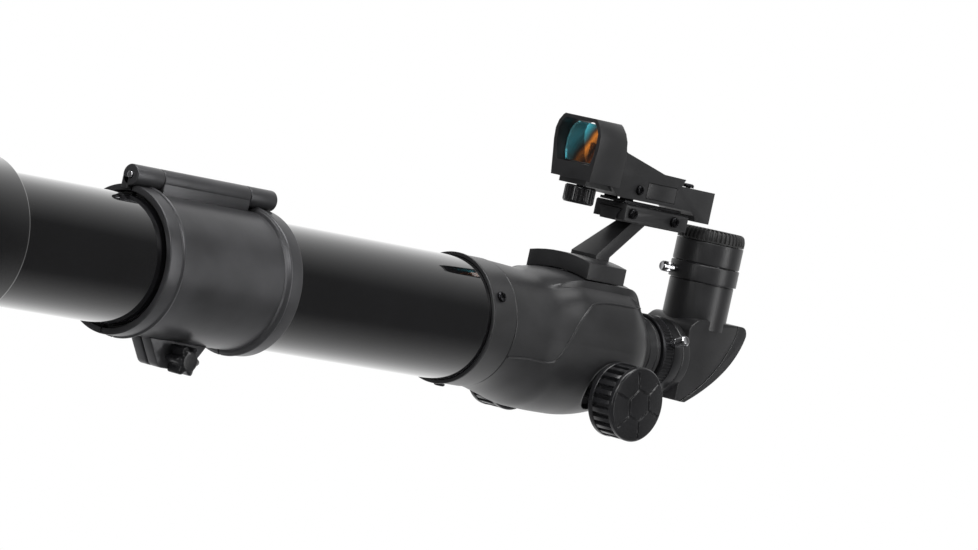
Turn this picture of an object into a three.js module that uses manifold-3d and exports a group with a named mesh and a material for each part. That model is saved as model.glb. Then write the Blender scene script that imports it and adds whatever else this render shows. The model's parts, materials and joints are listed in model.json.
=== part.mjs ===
// A 70 mm refractor telescope: objective and dew shield, main tube, hinged clamshell cradle with a side dovetail,
// rack-and-pinion focuser, right-angle diagonal, eyepiece and a reflex finder on a slanted bracket.
// Millimetres, +Z up. +X runs from the objective to the eyepiece. The origin is the middle of the dovetail's
// outer face; inside the "telescope" group the optical axis is the X axis and the cradle's middle is x = 0.
import * as THREE from 'three';
import { mergeVertices } from 'three/addons/utils/BufferGeometryUtils.js';
import Module from 'manifold-3d';

const wasm = await Module();
wasm.setup();

// ---- Driving dimensions -------------------------------------------------------------------------------------
const GAP = 0.3; // clearance between pieces that touch
const ROUND = 36; // sides of a large turned piece
const MEDIUM_ROUND = 28; // sides of a knob, lens or drawtube
const SMALL_ROUND = 12; // sides of a screw, pin or knob stem
const TUBE_RADIUS = 38;
const TUBE_WALL = 1.4;
const CRADLE_HALF = 55; // half the cradle's length
const DOVETAIL_FACE = 58; // from the optical axis to the dovetail's outer face
const HOUSING_FRONT = 227; // front edge of the focuser housing
const SOCKET_DEPTH = 18; // how far the tube enters the housing
const LENS_X = -190; // rear seat of the objective
const LENS_RADIUS = 35.5;
const CELL_RADIUS = 41;
const SHIELD_RADIUS = 46;
const SHIELD_FRONT = -262;
const SHIELD_REAR = -168;
const SHIELD_WALL = 1.6;
const HINGE_HEIGHT = 49; // hinge pin above the optical axis
const HINGE_RADIUS = 6.2;
const PIN_RADIUS = 2;
const LUG_DEPTH = 57; // lowest point of the clamp lugs under the axis
const CLAMP_HEIGHT = -50; // clamp screw's height
const PINION_X = HOUSING_FRONT + 121.5;
const PINION_Z = -29;
const MODULE = 1; // gear module of rack and pinion
const PINION_TEETH = 13;
const SHAFT_RADIUS = 3;
const KNOB_FACE = 63.3; // knob face from the middle plane
const KNOB_DEPTH = 22.3; // knob face to knob back
const KNOB_RADIUS = 23.3;
const DRAW_RADIUS = 19.3;
const RACK_HALF = 3.5; // half the width of the rack under the drawtube
const DRAW_WALL = 1.8;
const COLLAR_FRONT = HOUSING_FRONT + 180.5;
const COLLAR_REAR = HOUSING_FRONT + 198.5;
const NOSE_RADIUS = 15.7; // 1.25 inch push-fit barrels
const EYEPIECE_X = HOUSING_FRONT + 230; // vertical axis of the diagonal's barrel
const BARREL_TOP = 61.8;
const CUP_BASE = 76.2; // top of the eyepiece's hard body, where the rubber eyecup starts
const EYEPIECE_TOP = 84.6;
const SHOE_FRONT = HOUSING_FRONT + 91.5;
const SHOE_REAR = HOUSING_FRONT + 126.7;
const SHOE_HALF = 25.6;
const RAIL_BOTTOM = 78.5;
const FINDER_X = HOUSING_FRONT + 83.3; // foremost edge of the finder's hood
const FINDER_REAR = HOUSING_FRONT + 207.5;
const CLAMP_TOP = 89.9; // top of the clamp that grips the finder's rail
const PIVOT_X = HOUSING_FRONT + 134; // the finder's two adjusting axes cross here
const DIMMER_X = HOUSING_FRONT + 97; // brightness knob under the hood

// ---- Geometry helpers ---------------------------------------------------------------------------------------
function volume(positions, index) {
  let sum = 0;
  const [a, b, c] = [new THREE.Vector3(), new THREE.Vector3(), new THREE.Vector3()];
  for (let i = 0; i < index.length; i += 3) {
    a.fromBufferAttribute(positions, index[i]);
    b.fromBufferAttribute(positions, index[i + 1]);
    c.fromBufferAttribute(positions, index[i + 2]);
    sum += a.dot(b.cross(c));
  }
  return sum;
}

// A closed three.js geometry as a solid: corners merged, empty triangles dropped, faces turned outwards.
function solid(geometry) {
  geometry.deleteAttribute('normal');
  geometry.deleteAttribute('uv');
  const merged = mergeVertices(geometry, 1e-4);
  const source = merged.index.array;
  const index = [];
  for (let i = 0; i < source.length; i += 3) {
    const [a, b, c] = [source[i], source[i + 1], source[i + 2]];
    if (a !== b && b !== c && c !== a) index.push(a, b, c);
  }
  if (volume(merged.attributes.position, index) < 0) index.reverse();
  const mesh = new wasm.Mesh({
    numProp: 3,
    vertProperties: new Float32Array(merged.attributes.position.array),
    triVerts: new Uint32Array(index),
  });
  return new wasm.Manifold(mesh);
}

function placed(geometry, at) {
  geometry.translate(at[0], at[1], at[2]);
  return solid(geometry);
}

// Ways to aim a shape made along +X: along another axis, or radially out at an angle above the near side.
const AIM = {
  x: new THREE.Matrix4(),
  y: new THREE.Matrix4().makeRotationZ(Math.PI / 2),
  near: new THREE.Matrix4().makeRotationZ(-Math.PI / 2),
  z: new THREE.Matrix4().makeRotationY(-Math.PI / 2),
};

// Turned solid. The profile is [distance along the axis, radius] pairs and starts and ends on the axis or loops.
function turned(profile, { aim = AIM.x, at = [0, 0, 0], sides = ROUND, shape = null } = {}) {
  const loop = profile[0][1] === 0 ? profile : [...profile, profile[0]];
  const geometry = new THREE.LatheGeometry(loop.map(([x, r]) => new THREE.Vector2(r, x)), sides);
  geometry.rotateZ(-Math.PI / 2);
  if (shape) shape(geometry);
  geometry.applyMatrix4(aim);
  return placed(geometry, at);
}

function rod(start, end, radius, options = {}) {
  return turned([[start, 0], [start, radius], [end, radius], [end, 0]], { sides: SMALL_ROUND, ...options });
}

function ring(start, end, inner, outer, options = {}) {
  return turned([[start, inner], [end, inner], [end, outer], [start, outer]], options);
}

function box(x, y, z) {
  const geometry = new THREE.BoxGeometry(x[1] - x[0], y[1] - y[0], z[1] - z[0]);
  return placed(geometry, [(x[0] + x[1]) / 2, (y[0] + y[1]) / 2, (z[0] + z[1]) / 2]);
}

function outline(points) {
  return new THREE.Shape(points.map(([a, b]) => new THREE.Vector2(a, b)));
}

// A side-view outline of [x, z] points, extruded across Y from y[0] to y[1].
function slab(shape, y, curveSegments = 8) {
  const flat = Array.isArray(shape) ? outline(shape) : shape;
  const geometry = new THREE.ExtrudeGeometry(flat, { depth: y[1] - y[0], bevelEnabled: false, curveSegments });
  geometry.rotateX(Math.PI / 2);
  return placed(geometry, [0, y[1], 0]);
}

// A front-view outline of [y, z] points, extruded along X from x[0] to x[1].
function bar(shape, x, curveSegments = 8) {
  const flat = Array.isArray(shape) ? outline(shape) : shape;
  const geometry = new THREE.ExtrudeGeometry(flat, { depth: x[1] - x[0], bevelEnabled: false, curveSegments });
  const basis = new THREE.Matrix4().makeBasis(
    new THREE.Vector3(0, 1, 0),
    new THREE.Vector3(0, 0, 1),
    new THREE.Vector3(1, 0, 0),
  );
  geometry.applyMatrix4(basis);
  return placed(geometry, [x[0], 0, 0]);
}

function joined(...solids) {
  return solids.reduce((sum, next) => sum.add(next));
}

function cut(body, ...tools) {
  return tools.reduce((rest, tool) => rest.subtract(tool), body);
}

function smoothstep(edge0, edge1, value) {
  return THREE.MathUtils.smoothstep(value, edge0, edge1);
}

// ---- Materials ----------------------------------------------------------------------------------------------
const look = (color, roughness, metalness) => new THREE.MeshStandardMaterial({ color, roughness, metalness });
const MATERIAL = {
  glossBlack: look(0x0b0b0c, 0.12, 0.1),
  satinShell: look(0x3a3a3e, 0.38, 0.7),
  blackMetal: look(0x17171a, 0.4, 0.6),
  blackPlastic: look(0x1b1b1d, 0.5, 0),
  softBlack: look(0x101011, 0.85, 0),
  steel: look(0xb9b9bc, 0.25, 1),
  blackSteel: look(0x1d1d1f, 0.35, 0.9),
  aluminium: look(0x8d8f93, 0.3, 0.9),
  glass: look(0xcfe3ea, 0.02, 0),
  coatedGlass: look(0x35b9c9, 0.05, 0.1),
  red: look(0xb01818, 0.3, 0),
};

const telescope = new THREE.Group();
telescope.position.y = -DOVETAIL_FACE;

function piece(name, shape, material) {
  const data = shape.getMesh();
  const geometry = new THREE.BufferGeometry();
  geometry.setAttribute('position', new THREE.BufferAttribute(data.vertProperties, 3));
  geometry.setIndex(new THREE.BufferAttribute(data.triVerts, 1));
  const mesh = new THREE.Mesh(geometry, material);
  mesh.name = name;
  telescope.add(mesh);
}

// ---- Screws and knobs that repeat ----------------------------------------------------------------------------
// A screw with a low domed head. The head's seat is at 0, the head points along +aim.
function screw({ head, height, shank, length, aim, at }) {
  const profile = [
    [-length, 0],
    [-length, shank],
    [0, shank],
    [0, head],
    [height * 0.6, head],
    [height, 0],
  ];
  return turned(profile, { aim, at, sides: SMALL_ROUND });
}

// A chrome thumbscrew: plain shank, knurled drum head, along +aim from the shank's tip at 0.
function thumbscrew({ aim, at, reach }) {
  const [shank, neck, drum] = [1.9, 2.4, 3.3];
  const profile = [
    [0, 0],
    [0, shank],
    [reach, shank],
    [reach, neck],
    [reach + 3, neck],
    [reach + 3, drum],
    [reach + 10, drum],
    [reach + 10.8, drum - 0.8],
    [reach + 10.8, 0],
  ];
  return turned(profile, { aim, at, sides: SMALL_ROUND });
}

// ---- Objective end ------------------------------------------------------------------------------------------
function addMainTube() {
  const rear = HOUSING_FRONT + SOCKET_DEPTH - GAP;
  piece('main_tube', ring(LENS_X + 2, rear, TUBE_RADIUS - TUBE_WALL, TUBE_RADIUS), MATERIAL.glossBlack);
  const inner = TUBE_RADIUS - TUBE_WALL - GAP;
  const x = 20;
  const opening = 25;
  const baffle = [
    [x, opening],
    [x + 1.2, opening],
    [x + 1.2, inner - 1.2],
    [x + 9, inner - 1.2],
    [x + 9, inner],
    [x, inner],
  ];
  piece('baffle', turned(baffle, { sides: MEDIUM_ROUND }), MATERIAL.softBlack);
}

function arcPoints(edgeX, sag, count = 2) {
  // Half of a shallow lens face from the axis out to the rim; the middle stands sag further along X.
  const points = [];
  for (let i = 0; i <= count; i += 1) {
    const part = i / count;
    points.push([edgeX + sag * (1 - part * part), LENS_RADIUS * part]);
  }
  return points;
}

function addObjective() {
  const flintRear = LENS_X - GAP;
  const flintEdge = flintRear - 5;
  const crownRear = flintEdge - 1.2;
  const crownFront = crownRear - 3.2;
  const cellFront = crownFront - 5;
  const flint = [...arcPoints(flintEdge, 1.9), ...arcPoints(flintRear, 0).reverse()];
  const crown = [...arcPoints(crownFront, -1.6), ...arcPoints(crownRear, 1.7).reverse()];
  piece('lens_flint', turned(flint, { sides: MEDIUM_ROUND }), MATERIAL.glass);
  piece('lens_crown', turned(crown, { sides: MEDIUM_ROUND }), MATERIAL.glass);
  const retainer = ring(cellFront + 1, crownFront - GAP, LENS_RADIUS - 2.5, LENS_RADIUS + 0.3, { sides: MEDIUM_ROUND });
  piece('lens_retainer', retainer, MATERIAL.blackMetal);
  const bore = LENS_RADIUS + 0.6;
  const sleeve = TUBE_RADIUS + GAP;
  const cell = [
    [cellFront, bore],
    [LENS_X, bore],
    [LENS_X, LENS_RADIUS - 1.5],
    [LENS_X + 2 - GAP, LENS_RADIUS - 1.5],
    [LENS_X + 2 - GAP, sleeve],
    [LENS_X + 26, sleeve],
    [LENS_X + 26, CELL_RADIUS],
    [cellFront, CELL_RADIUS],
  ];
  piece('objective_cell', turned(cell), MATERIAL.blackPlastic);
}

function addDewShield() {
  const inner = SHIELD_RADIUS - SHIELD_WALL;
  const collar = CELL_RADIUS + GAP;
  const shield = [
    [SHIELD_FRONT, inner],
    [SHIELD_REAR - 12, inner],
    [SHIELD_REAR - 10, collar],
    [SHIELD_REAR, collar],
    [SHIELD_REAR, SHIELD_RADIUS - 1],
    [SHIELD_REAR - 1, SHIELD_RADIUS],
    [SHIELD_FRONT, SHIELD_RADIUS],
  ];
  piece('dew_shield', turned(shield), MATERIAL.glossBlack);
  const front = SHIELD_FRONT - 4;
  const bezel = [
    [front, inner + 0.4],
    [SHIELD_FRONT - GAP, inner + 0.4],
    [SHIELD_FRONT - GAP, SHIELD_RADIUS + 0.6],
    [front + 1, SHIELD_RADIUS + 0.6],
    [front, SHIELD_RADIUS - 0.2],
  ];
  piece('dew_shield_bezel', turned(bezel), MATERIAL.blackPlastic);
}

// ---- Clamshell cradle ---------------------------------------------------------------------------------------
const FELT = 1.2;
const CRADLE_INNER = TUBE_RADIUS + GAP + FELT + GAP;
const SPLIT = 0.8; // half the slot between the two shells
const KNUCKLE_SPLIT = 35.8; // where the end knuckles meet the middle one

function cradleRing() {
  const band = CRADLE_HALF - 11;
  const half = [
    [band - 2.2, 41.4],
    [band - 1.2, 43.4],
    [band, 44.6],
    [band + 1.2, 44.4],
    [band + 1.8, 43.6],
    [CRADLE_HALF, 43.6],
  ];
  const outer = [...half.map(([x, r]) => [-x, r]).reverse(), ...half];
  return turned([[CRADLE_HALF, CRADLE_INNER], [-CRADLE_HALF, CRADLE_INNER], ...outer], { sides: ROUND });
}

function halfSpace(side) {
  const y = side > 0 ? [SPLIT, 80] : [-80, -SPLIT];
  return box([-90, 90], y, [-90, 90]);
}

// A knuckle: a barrel round the pin and a flat web down to its shell, on the shell's own side.
function knuckle(x, side) {
  const y = side > 0 ? [SPLIT, HINGE_RADIUS] : [-HINGE_RADIUS, -SPLIT];
  const barrel = rod(x[0], x[1], HINGE_RADIUS, { at: [0, 0, HINGE_HEIGHT], sides: 20 });
  return joined(barrel, box(x, y, [CRADLE_INNER + 0.8, HINGE_HEIGHT]));
}

// Clamp lug below the shell, tapering to its ends.
function lug(side) {
  const points = [
    [-24, -40],
    [-20, -46],
    [-12, -LUG_DEPTH],
    [12, -LUG_DEPTH],
    [20, -46],
    [24, -40],
  ];
  return slab(points, side > 0 ? [SPLIT, 8.5] : [-8.5, -SPLIT]);
}

function felt(side) {
  const inner = TUBE_RADIUS + GAP;
  const liner = ring(-CRADLE_HALF + 3, CRADLE_HALF - 3, inner, inner + FELT, { sides: ROUND });
  return liner.intersect(box([-90, 90], side > 0 ? [SPLIT + 1, 80] : [-80, -SPLIT - 1], [-90, 90]));
}

function addCradle() {
  const bore = rod(-60, 60, CRADLE_INNER, { sides: ROUND });
  const pinHole = rod(-70, 70, PIN_RADIUS + GAP, { at: [0, 0, HINGE_HEIGHT] });
  const clear = (x) => rod(x[0], x[1], HINGE_RADIUS + 0.4, { at: [0, 0, HINGE_HEIGHT], sides: 20 });
  const end = CRADLE_HALF + 3;
  const pad = cut(box([-27, 27], [36, 46], [-17, 17]), bore);
  const padHoles = [-15, 15].map((x) => rod(42, 60, 3.4, { aim: AIM.y, at: [x, 0, 0] }));

  let far = joined(cradleRing().intersect(halfSpace(1)), cut(lug(1), bore), pad);
  far = cut(far, clear([-KNUCKLE_SPLIT - 0.2, KNUCKLE_SPLIT + 0.2]));
  far = joined(far, knuckle([KNUCKLE_SPLIT + 0.2, end], 1), knuckle([-end, -KNUCKLE_SPLIT - 0.2], 1));
  far = cut(far, pinHole, ...padHoles, rod(-1, 20, 3.5, { aim: AIM.y, at: [0, 0, CLAMP_HEIGHT] }));
  piece('cradle_far_half', far, MATERIAL.satinShell);
  piece('cradle_felt_far', felt(1), MATERIAL.softBlack);

  let near = joined(cradleRing().intersect(halfSpace(-1)), cut(lug(-1), bore));
  near = cut(near, clear([KNUCKLE_SPLIT - 0.2, 70]), clear([-70, -KNUCKLE_SPLIT + 0.2]));
  near = joined(near, knuckle([-KNUCKLE_SPLIT + 0.2, KNUCKLE_SPLIT - 0.2], -1));
  near = cut(near, pinHole, rod(-20, 1, 3.2, { aim: AIM.y, at: [0, 0, CLAMP_HEIGHT] }));
  piece('cradle_near_half', near, MATERIAL.satinShell);
  piece('cradle_felt_near', felt(-1), MATERIAL.softBlack);

  const pin = rod(-end - 1, end + 1, PIN_RADIUS, { at: [0, 0, HINGE_HEIGHT] });
  piece('hinge_pin', pin, MATERIAL.steel);
}

function addClamp() {
  const at = [0, 0, CLAMP_HEIGHT];
  const lobes = [];
  for (let i = 0; i < 6; i += 1) {
    const angle = (i * Math.PI) / 3;
    const centre = [7.2 * Math.cos(angle), 0, CLAMP_HEIGHT + 7.2 * Math.sin(angle)];
    lobes.push(rod(9.2, 20, 2.6, { aim: AIM.near, at: centre }));
  }
  const hub = rod(9.2, 21.5, 7.4, { aim: AIM.near, at });
  const knob = cut(joined(hub, ...lobes), rod(8, 18, 3.2, { aim: AIM.near, at }));
  piece('clamp_knob', knob, MATERIAL.blackPlastic);
  piece('clamp_stud', rod(-8, 17.5, 2.9, { aim: AIM.near, at }), MATERIAL.steel);
}

function addDovetail() {
  const start = 46 + GAP;
  const shape = [
    [start, -17.5],
    [DOVETAIL_FACE, -21.8],
    [DOVETAIL_FACE, 21.8],
    [start, 17.5],
  ];
  const holes = [-15, 15].flatMap((x) => [
    rod(40, 70, 3.4, { aim: AIM.y, at: [x, 0, 0] }),
    rod(DOVETAIL_FACE - 6.5, 70, 5.6, { aim: AIM.y, at: [x, 0, 0] }),
  ]);
  piece('mount_dovetail', cut(bar(shape, [-52, 52]), ...holes), MATERIAL.blackMetal);
  [-15, 15].forEach((x, i) => {
    const at = [x, DOVETAIL_FACE - 6.5 + GAP, 0];
    const head = cut(
      screw({ head: 5, height: 4.6, shank: 3, length: 9, aim: AIM.y, at }),
      rod(2, 6, 2, { aim: AIM.y, at, sides: 6 }),
    );
    piece(`dovetail_screw_${i + 1}`, head, MATERIAL.steel);
  });
}

// ---- Focuser housing ----------------------------------------------------------------------------------------
const HOUSING_LENGTH = 160;
const HOUSING_WALL = 3;
const HOUSING_PROFILE = [
  // Distance behind the front edge, radius.
  [0, 40.4],
  [2, 40.4],
  [2.2, 39.6],
  [22, 39.6],
  [22.2, 38.8],
  [23.2, 39.2],
  [40, 38.4],
  [56, 37.7],
  [72, 38.4],
  [88, 39],
  [108, 39],
  [128, 38.8],
  [140, 37.6],
  [150, 34.6],
  [157, 29.4],
  [HOUSING_LENGTH, 25.5],
];

// Extra radius of the moulding at x behind its front edge, in the direction (y, z): the pinion's belly below,
// and above it the flat-topped saddle under the finder shoe with a bulging shoulder on each side.
function housingExtra(x, radius, y, z) {
  const belly = 8.6 * smoothstep(22, 70, x) * (1 - smoothstep(105, 168, x)) * Math.max(0, -z);
  if (z <= 0) return belly;
  const half = SHOE_HALF + 1.6;
  const across = Math.min(half, (41.8 * Math.abs(y)) / Math.max(z, 1e-6));
  const crown = 41.8 - 3 * (across / half) ** 2;
  const saddle = Math.min(half / Math.max(Math.abs(y), 1e-6), crown / Math.max(z, 1e-6));
  const shoulder = Math.min(radius + 5 * smoothstep(0.2, 0.72, z), 35 / Math.max(z, 1e-6));
  const weight = smoothstep(58, 90, x) * (1 - smoothstep(131, 158, x));
  return weight * Math.max(0, Math.max(saddle, shoulder) - radius);
}

// The housing's outer form: a turned profile, pushed out by housingExtra.
function housingForm() {
  const profile = [[0, 0], ...HOUSING_PROFILE, [HOUSING_LENGTH, 0]];
  const shape = (geometry) => {
    const position = geometry.attributes.position;
    for (let i = 0; i < position.count; i += 1) {
      const [along, y, z] = [position.getX(i), position.getY(i), position.getZ(i)];
      const radius = Math.hypot(y, z);
      if (radius < 1) continue;
      const extra = housingExtra(along, radius, y / radius, z / radius);
      position.setXYZ(i, along, y * (1 + extra / radius), z * (1 + extra / radius));
    }
  };
  return turned(profile, { at: [HOUSING_FRONT, 0, 0], shape });
}

// The housing's hollow follows the turned profile only.
function housingHollow() {
  const profile = [
    [23, 0],
    [23, 36],
    [56, 34.6],
    [130, 35.4],
    [148, 32],
    [156, 25],
    [156, 0],
  ];
  return turned(profile, { at: [HOUSING_FRONT, 0, 0], sides: MEDIUM_ROUND });
}

// Dished pocket in one side of the housing where the focus shaft comes out.
function shaftPocket(side, grow) {
  const profile = [
    [18 - grow, 0],
    [18 - grow, 8 + grow],
    [48, 27 + grow],
    [48, 0],
  ];
  return turned(profile, { aim: side > 0 ? AIM.y : AIM.near, at: [PINION_X, 0, PINION_Z], sides: 20 });
}

// Band screws at 30 and 150 degrees above the sides, and one below.
const BAND_ANGLES = [30, 150, 270];

function radial(degrees) {
  // +X turned to point out from the optical axis: 0 degrees is the near side, 90 degrees is up.
  const angle = THREE.MathUtils.degToRad(degrees);
  const out = new THREE.Vector3(0, -Math.cos(angle), Math.sin(angle));
  const along = new THREE.Vector3(1, 0, 0);
  return new THREE.Matrix4().makeBasis(out, along, new THREE.Vector3().crossVectors(out, along));
}

function addHousing() {
  const f = HOUSING_FRONT;
  const pocket = (grow) => joined(shaftPocket(1, grow), shaftPocket(-1, grow));
  const hollow = cut(housingHollow(), pocket(HOUSING_WALL));
  const bores = [
    rod(f - 1, f + SOCKET_DEPTH, TUBE_RADIUS + GAP, { sides: ROUND }),
    rod(f, f + 30, TUBE_RADIUS - 2.2, { sides: ROUND }),
    rod(f + 140, f + 165, 22.3, { sides: MEDIUM_ROUND }),
    rackSlot([f + 140, f + 165]),
    rod(-30, 30, 5, { aim: AIM.y, at: [PINION_X, 0, PINION_Z] }),
    box([PINION_X - 9, PINION_X + 9], [-7, 7], [PINION_Z - 9, PINION_Z]),
    ...BAND_ANGLES.map((angle) => rod(35, 45, 1.9, { aim: radial(angle), at: [f + 8.5, 0, 0] })),
  ];
  const body = cut(housingForm(), pocket(0), hollow, ...bores);
  piece('focuser_housing', body, MATERIAL.blackPlastic);
  BAND_ANGLES.forEach((angle, i) => {
    const aim = radial(angle);
    const out = new THREE.Vector3(1, 0, 0).applyMatrix4(aim).multiplyScalar(39.6 + GAP);
    const at = [f + 8.5, out.y, out.z];
    const whole = screw({ head: 3.4, height: 1.6, shank: 1.6, length: 1.4, aim, at });
    piece(`housing_screw_${i + 1}`, whole, MATERIAL.blackSteel);
  });
}

// ---- Drawtube, rack and pinion ------------------------------------------------------------------------------
const PITCH_RADIUS = (MODULE * PINION_TEETH) / 2;
const PITCH_LINE = PINION_Z + PITCH_RADIUS;
const PRESSURE = THREE.MathUtils.degToRad(20);
const BACKLASH = 0.3;
const ADDENDUM = 0.8 * MODULE;
const DEDENDUM = 1.15 * MODULE;

function involute(angle) {
  return Math.tan(angle) - angle;
}

function pinionOutline() {
  const base = PITCH_RADIUS * Math.cos(PRESSURE);
  const half = Math.PI / (2 * PINION_TEETH) - BACKLASH / (2 * PITCH_RADIUS) + involute(PRESSURE);
  const flank = [base, (base + PITCH_RADIUS) / 2, PITCH_RADIUS, PITCH_RADIUS + ADDENDUM];
  const thickness = (radius) => half - involute(Math.acos(Math.min(1, base / radius)));
  const points = [];
  const add = (radius, angle) => points.push([radius * Math.cos(angle), radius * Math.sin(angle)]);
  for (let i = 0; i < PINION_TEETH; i += 1) {
    const middle = Math.PI / 2 + ((i + 0.5) * 2 * Math.PI) / PINION_TEETH;
    add(PITCH_RADIUS - DEDENDUM, middle - thickness(base) - 0.04);
    flank.forEach((radius) => add(radius, middle - thickness(radius)));
    [...flank].reverse().forEach((radius) => add(radius, middle + thickness(radius)));
    add(PITCH_RADIUS - DEDENDUM, middle + thickness(base) + 0.04);
  }
  return points;
}

// Rack: teeth point down from a strip under the drawtube, one tooth centred over the pinion.
function rackOutline(first, last, top) {
  const pitch = Math.PI * MODULE;
  const half = pitch / 4 - BACKLASH / 2;
  const lean = Math.tan(PRESSURE);
  const root = PITCH_LINE + DEDENDUM;
  const tip = PITCH_LINE - ADDENDUM;
  const points = [[PINION_X + last * pitch + pitch / 2, top], [PINION_X + first * pitch - pitch / 2, top]];
  points.push([PINION_X + first * pitch - pitch / 2, root]);
  for (let i = first; i <= last; i += 1) {
    const middle = PINION_X + i * pitch;
    points.push([middle - half - lean * DEDENDUM, root]);
    points.push([middle - half + lean * ADDENDUM, tip]);
    points.push([middle + half - lean * ADDENDUM, tip]);
    points.push([middle + half + lean * DEDENDUM, root]);
  }
  points.push([PINION_X + last * pitch + pitch / 2, root]);
  return points;
}

// Room for the rack to run out through the rear of the focuser.
function rackSlot(x) {
  const half = RACK_HALF + GAP;
  return box(x, [-half, half], [PITCH_LINE - ADDENDUM - GAP, -DRAW_RADIUS + 1]);
}

function addDrawtube() {
  const f = HOUSING_FRONT;
  const guideRear = f + 179;
  const guide = [
    [f + 144, DRAW_RADIUS + GAP],
    [guideRear, DRAW_RADIUS + GAP],
    [guideRear, 22.6],
    [guideRear - 2.5, 22.6],
    [guideRear - 3, 22],
    [f + 144, 22],
  ];
  const sleeve = turned(guide, { sides: MEDIUM_ROUND });
  piece('drawtube_guide', cut(sleeve, rackSlot([f + 140, guideRear + 1])), MATERIAL.blackPlastic);
  const notch = box([f + 50, f + 70], [-5, 5], [-26, -15]);
  const plate = cut(ring(f + 58, f + 61, DRAW_RADIUS + GAP, 33.5, { sides: MEDIUM_ROUND }), notch);
  piece('drawtube_front_guide', plate, MATERIAL.blackPlastic);
  const seat = f + 185.7; // the drawtube's end, inside the collar
  const draw = ring(f + 46, seat, DRAW_RADIUS - DRAW_WALL, DRAW_RADIUS, { sides: MEDIUM_ROUND });
  piece('drawtube', draw, MATERIAL.aluminium);
  const rack = slab(rackOutline(-19, 2, -DRAW_RADIUS - GAP), [-RACK_HALF, RACK_HALF]);
  piece('focus_rack', rack, MATERIAL.steel);

  const collar = [
    [COLLAR_FRONT, DRAW_RADIUS + GAP],
    [seat + GAP, DRAW_RADIUS + GAP],
    [seat + GAP, NOSE_RADIUS + GAP],
    [COLLAR_REAR, NOSE_RADIUS + GAP],
    [COLLAR_REAR, 24.1],
    [COLLAR_REAR - 0.6, 24.5],
    [COLLAR_FRONT + 0.6, 24.5],
    [COLLAR_FRONT, 24.1],
  ];
  const aim = radial(23);
  const screwX = COLLAR_REAR - 10;
  const hole = rod(14, 30, 2.2, { aim, at: [screwX, 0, 0] });
  piece('drawtube_collar', cut(turned(collar), hole), MATERIAL.blackPlastic);
  const tip = new THREE.Vector3(1, 0, 0).applyMatrix4(aim).multiplyScalar(NOSE_RADIUS + GAP);
  const screwSolid = thumbscrew({ aim, at: [screwX, tip.y, tip.z], reach: 9 });
  piece('drawtube_thumbscrew', screwSolid, MATERIAL.steel);
}

function addPinion() {
  const at = [PINION_X, 0, PINION_Z];
  const gearShape = outline(pinionOutline());
  const geometry = new THREE.ExtrudeGeometry(gearShape, { depth: 10, bevelEnabled: false });
  geometry.rotateX(Math.PI / 2);
  const gear = placed(geometry, [PINION_X, 5, PINION_Z]);
  const bore = rod(-20, 20, SHAFT_RADIUS + GAP, { aim: AIM.y, at });
  piece('focus_pinion', cut(gear, bore), MATERIAL.steel);
  piece('focus_shaft', rod(-55, 55, SHAFT_RADIUS, { aim: AIM.y, at }), MATERIAL.steel);
  const bush = (aim) => ring(14.6, 18.4, SHAFT_RADIUS + GAP, 4.7, { aim, at, sides: SMALL_ROUND });
  piece('shaft_bush_near', bush(AIM.near), MATERIAL.softBlack);
  piece('shaft_bush_far', bush(AIM.y), MATERIAL.softBlack);
}

function knobSolid(aim) {
  const at = [PINION_X, 0, PINION_Z];
  const back = KNOB_FACE - KNOB_DEPTH;
  const profile = [
    [back + 2, 0],
    [back + 2, 7],
    [back, 7.6],
    [back, KNOB_RADIUS - 1],
    [back + 0.8, KNOB_RADIUS],
    [KNOB_FACE - 2, KNOB_RADIUS],
    [KNOB_FACE - 1, KNOB_RADIUS - 1.2],
    [KNOB_FACE, 0],
  ];
  const body = turned(profile, { aim, at, sides: MEDIUM_ROUND });
  return cut(body, rod(back - 2, 55.4, SHAFT_RADIUS + GAP, { aim, at }));
}

// ---- Diagonal and eyepiece ----------------------------------------------------------------------------------
// The diagonal's side view up to its curved mirror side, moved outwards by shift and raised to top.
function diagonalSide(x, front, shift, top) {
  const side = new THREE.Shape();
  side.moveTo(front + 6, -25 - shift);
  side.lineTo(x - 20 + shift, -25 - shift);
  side.quadraticCurveTo(x + 13.5 + shift, -5 - shift, x + 21 + shift, 23 - shift);
  side.lineTo(x + 21 + shift, top);
  side.lineTo(x - 20, top);
  side.lineTo(front + 6, 22);
  return side;
}

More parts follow.
